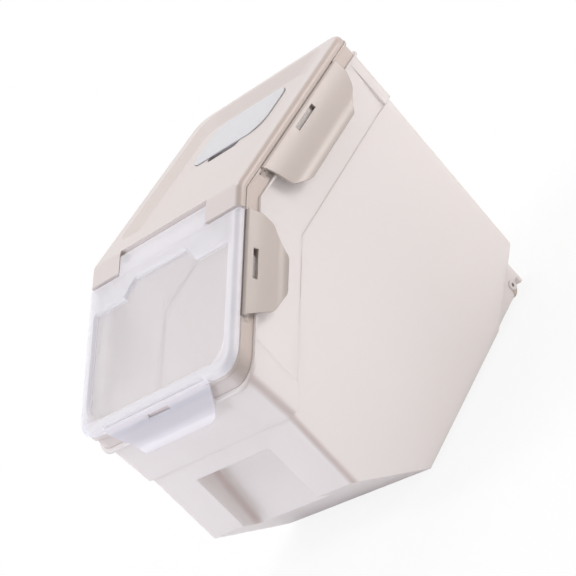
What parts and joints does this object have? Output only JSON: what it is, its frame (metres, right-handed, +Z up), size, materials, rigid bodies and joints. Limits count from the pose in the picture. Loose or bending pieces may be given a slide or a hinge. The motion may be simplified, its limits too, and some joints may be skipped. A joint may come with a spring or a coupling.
{
  "type": "pet food storage container",
  "caption": "Milky plastic food bin with a folded latching lid, clear front flap, scoop stored in the top cover, front hand recess and rear base wheels.",
  "frame": {"origin": "centre of the overall box at floor level", "axes": "+Z up, +Y towards the rear (wheels), -Y towards the front flap, +X the right side seen from the front"},
  "size_m": [0.2402, 0.4022, 0.3092],
  "materials": {
    "bin_shell": "milky translucent polypropylene",
    "lid_plastic": "fine satin",
    "latch_plastic": "fine satin",
    "door_plastic": "frosted clear polypropylene",
    "scoop_plastic": "white translucent polypropylene",
    "seal": "matt silicone",
    "wheel_plastic": "satin",
    "pin_steel": "drawn"
  },
  "bodies": {
    "bin_body": {"bin": "bin_shell", "wheel_axle_left": "pin_steel", "wheel_axle_right": "pin_steel"},
    "lid": {"lid_frame": "lid_plastic", "lid_gasket": "seal", "top_cover": "lid_plastic", "door_hinge_pin_left": "pin_steel", "door_hinge_pin_right": "pin_steel"},
    "door": {"door": "door_plastic", "door_gasket": "seal"},
    "door_latch_body": {"door_latch": "door_plastic"},
    "scoop": {"measuring_scoop": "scoop_plastic"},
    "rear_latch_left": {"side_latch_rear_left": "latch_plastic"},
    "front_latch_left": {"side_latch_front_left": "latch_plastic"},
    "wheel_left_body": {"wheel_left": "wheel_plastic"},
    "rear_latch_right": {"side_latch_rear_right": "latch_plastic"},
    "front_latch_right": {"side_latch_front_right": "latch_plastic"},
    "wheel_right_body": {"wheel_right": "wheel_plastic"}
  },
  "joints": [
    {"name": "lid_lift", "type": "slide", "parent": "bin_body", "child": "lid", "axis": [0, 0, 1], "range_m": [0, 0.08]},
    {"name": "door_hinge", "type": "hinge", "parent": "lid", "child": "door", "pos_m": [0, -0.04587, 0.30238], "axis": [-1, 0, 0], "range_deg": [0, 125]},
    {"name": "door_latch_hinge", "type": "hinge", "parent": "door", "child": "door_latch_body", "pos_m": [0, -0.1946, 0.22065], "axis": [-1, 0, 0], "range_deg": [0, 100]},
    {"name": "scoop_lift", "type": "slide", "parent": "lid", "child": "scoop", "axis": [0, 0, 1], "range_m": [0, 0.09]},
    {"name": "rear_latch_hinge_left", "type": "hinge", "parent": "lid", "child": "rear_latch_left", "pos_m": [-0.1144, 0.0718, 0.2977], "axis": [0, 1, 0], "range_deg": [0, 110]},
    {"name": "front_latch_hinge_left", "type": "hinge", "parent": "lid", "child": "front_latch_left", "pos_m": [-0.1144, -0.1036, 0.26325], "axis": [0, 0.8792, 0.4764], "range_deg": [0, 110]},
    {"name": "wheel_spin_left", "type": "hinge", "parent": "bin_body", "child": "wheel_left_body", "pos_m": [-0.0873, 0.1495, 0.0116], "axis": [1, 0, 0], "continuous": true},
    {"name": "rear_latch_hinge_right", "type": "hinge", "parent": "lid", "child": "rear_latch_right", "pos_m": [0.1144, 0.0718, 0.2977], "axis": [0, -1, 0], "range_deg": [0, 110]},
    {"name": "front_latch_hinge_right", "type": "hinge", "parent": "lid", "child": "front_latch_right", "pos_m": [0.1144, -0.1036, 0.26325], "axis": [0, -0.8792, -0.4764], "range_deg": [0, 110]},
    {"name": "wheel_spin_right", "type": "hinge", "parent": "bin_body", "child": "wheel_right_body", "pos_m": [0.0873, 0.1495, 0.0116], "axis": [1, 0, 0], "continuous": true}
  ]
}
